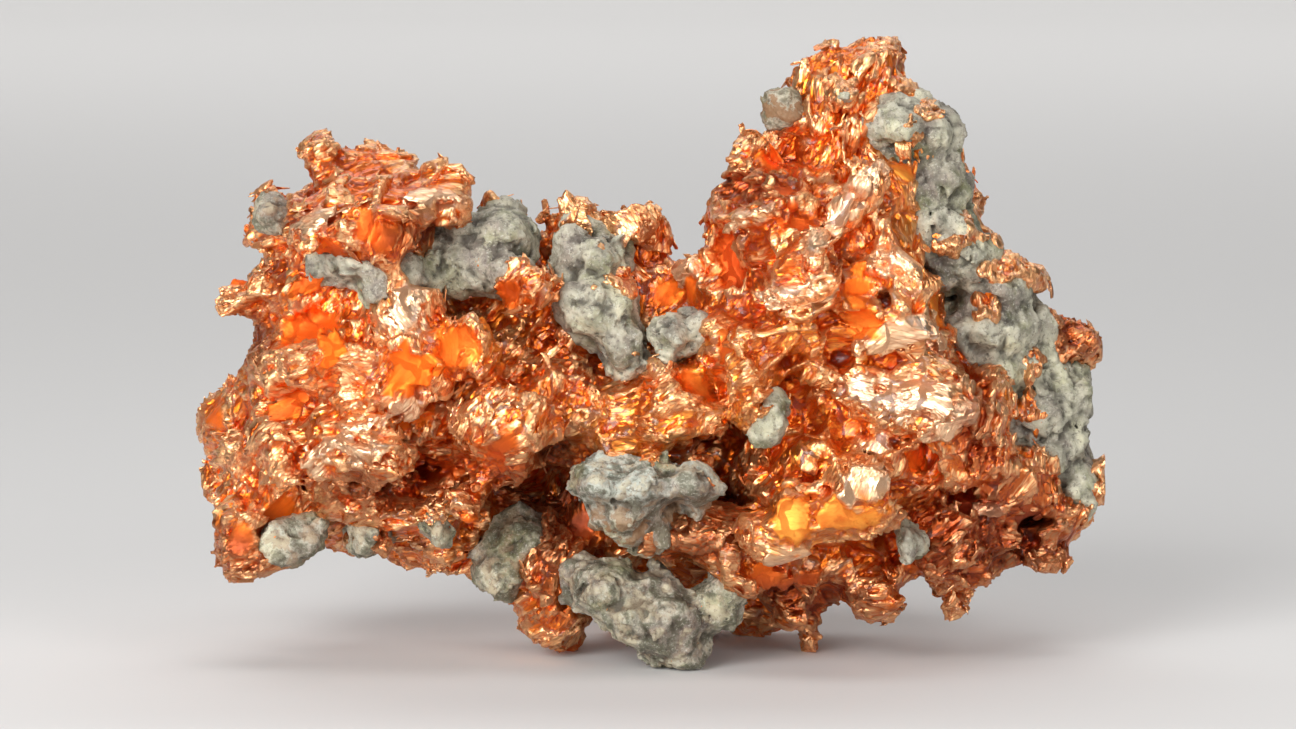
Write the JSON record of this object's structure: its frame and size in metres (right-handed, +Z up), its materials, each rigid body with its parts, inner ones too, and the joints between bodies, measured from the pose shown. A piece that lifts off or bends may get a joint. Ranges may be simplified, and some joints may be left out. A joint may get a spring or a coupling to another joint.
{
  "type": "native copper nugget",
  "caption": "Crumpled native copper nugget with a broad lobe, a saddle and a tall peak, holding grey calcite in its hollows; stands unheld on rubbed feet.",
  "frame": {"origin": "on the surface it rests on, under the middle of the object's bounding box", "axes": "+Z up, +X to the right towards the tall peak, -Y towards the side that faces the viewer"},
  "size_m": [0.0408, 0.021, 0.0278],
  "materials": {
    "native_copper": null,
    "grey_calcite": "dull grey-white to greenish grey calcite, sugary grains with brown specks"
  },
  "bodies": {
    "root": {"copper": "native_copper", "calcite_rind": "grey_calcite", "calcite_crest": "grey_calcite", "calcite_saddle": "grey_calcite", "calcite_saddle_right": "grey_calcite", "calcite_ledge": "grey_calcite", "calcite_foot": "grey_calcite", "calcite_cavity": "grey_calcite", "calcite_lobe_base": "grey_calcite", "calcite_lobe_notch": "grey_calcite", "calcite_lobe_corner": "grey_calcite", "calcite_shoulder": "grey_calcite", "calcite_flake": "grey_calcite", "calcite_tip": "grey_calcite", "calcite_peak_grain": "grey_calcite", "calcite_hem": "grey_calcite", "calcite_back": "grey_calcite", "calcite_back_low": "grey_calcite"}
  },
  "joints": []
}
